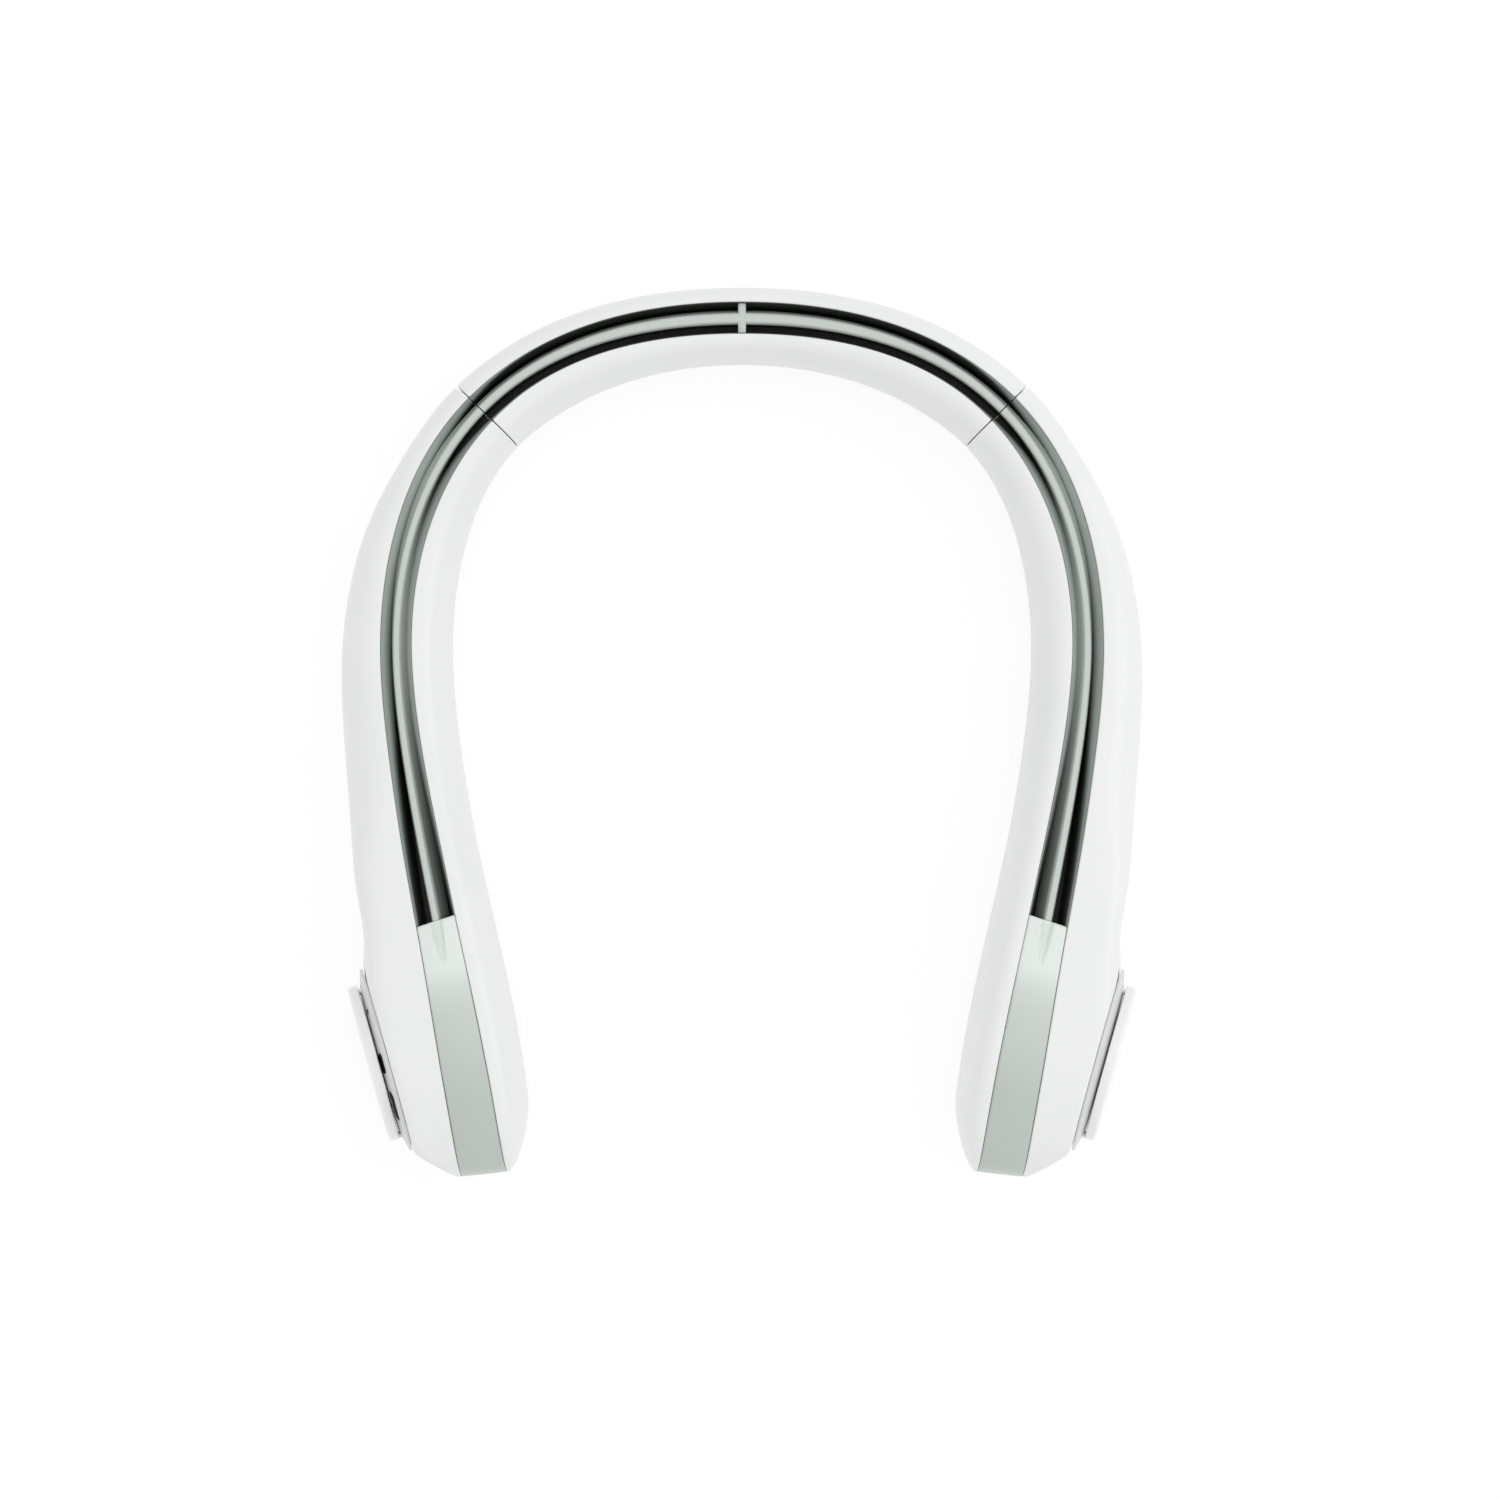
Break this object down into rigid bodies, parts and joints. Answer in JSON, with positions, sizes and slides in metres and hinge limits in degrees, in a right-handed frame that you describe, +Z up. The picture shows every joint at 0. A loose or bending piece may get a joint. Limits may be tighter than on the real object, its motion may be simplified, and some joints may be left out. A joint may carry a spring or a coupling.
{
  "type": "electric neck fan",
  "caption": "Horseshoe-shaped electric neck fan with an air slot along its top, a blower pod with a round standing cover on each end, and arms that open on hinges.",
  "frame": {"origin": "centre of the bounding box in X and Y, on the plane of the underside", "axes": "+X from the left pod to the right pod as pictured, +Y from the tips to the back of the neck, +Z up out of the air slot"},
  "size_m": [0.2074, 0.2293, 0.0517],
  "materials": {
    "shell_white": "satin",
    "sage": "fine matt",
    "dark_plastic": "matt",
    "steel": "plain",
    "lens": "milky",
    "board_green": "solder mask",
    "battery_wrap": "shrink film",
    "wire": "matt"
  },
  "bodies": {
    "neck": {"neck_outer_shell": "shell_white", "neck_inner_shell": "shell_white", "neck_air_duct": "sage", "neck_guide_fin": "sage", "neck_lead": "wire", "neck_screws": "steel", "right_hinge_leaf_neck": "steel", "right_hinge_pin": "steel", "left_hinge_leaf_neck": "steel", "left_hinge_pin": "steel"},
    "right_arm": {"right_outer_shell": "shell_white", "right_inner_shell": "shell_white", "right_top_panel": "sage", "right_air_duct": "sage", "right_guide_fin": "sage", "right_hinge_leaf_arm": "steel", "right_hinge_sleeve": "dark_plastic", "right_intake_ring": "shell_white", "right_fan_cover": "shell_white", "right_volute": "dark_plastic", "right_motor": "steel", "right_battery": "battery_wrap", "right_screws": "steel", "right_lead": "wire", "right_hinge_lead": "wire"},
    "left_arm": {"left_outer_shell": "shell_white", "left_inner_shell": "shell_white", "left_top_panel": "sage", "left_air_duct": "sage", "left_guide_fin": "sage", "left_hinge_leaf_arm": "steel", "left_hinge_sleeve": "dark_plastic", "left_intake_ring": "shell_white", "left_fan_cover": "shell_white", "left_volute": "dark_plastic", "left_motor": "steel", "left_battery": "battery_wrap", "left_screws": "steel", "left_lead": "wire", "left_hinge_lead": "wire", "left_control_board": "board_green", "left_charge_port": "steel", "left_status_lens": "lens"},
    "right_wheel": {"right_impeller": "sage", "right_impeller_shaft": "steel"},
    "left_wheel": {"left_impeller": "sage", "left_impeller_shaft": "steel"},
    "button": {"left_power_button": "dark_plastic"}
  },
  "joints": [
    {"name": "right_arm_hinge", "type": "hinge", "parent": "neck", "child": "right_arm", "pos_m": [0.07137, 0.08636, 0.01636], "axis": [0, 0, 1], "range_deg": [0, 8]},
    {"name": "left_arm_hinge", "type": "hinge", "parent": "neck", "child": "left_arm", "pos_m": [-0.07137, 0.08636, 0.01636], "axis": [0, 0, -1], "range_deg": [0, 8]},
    {"name": "right_impeller_spin", "type": "hinge", "parent": "right_arm", "child": "right_wheel", "pos_m": [0.07715, -0.08112, 0.02377], "axis": [0.9564, -0.2652, 0.1219], "continuous": true},
    {"name": "left_impeller_spin", "type": "hinge", "parent": "left_arm", "child": "left_wheel", "pos_m": [-0.07715, -0.08112, 0.02377], "axis": [-0.9564, -0.2652, 0.1219], "continuous": true},
    {"name": "power_button_press", "type": "slide", "parent": "left_arm", "child": "button", "axis": [0.9564, 0.2652, -0.1219], "range_m": [0, 0.0006], "stiffness_N_per_m": 2500}
  ]
}
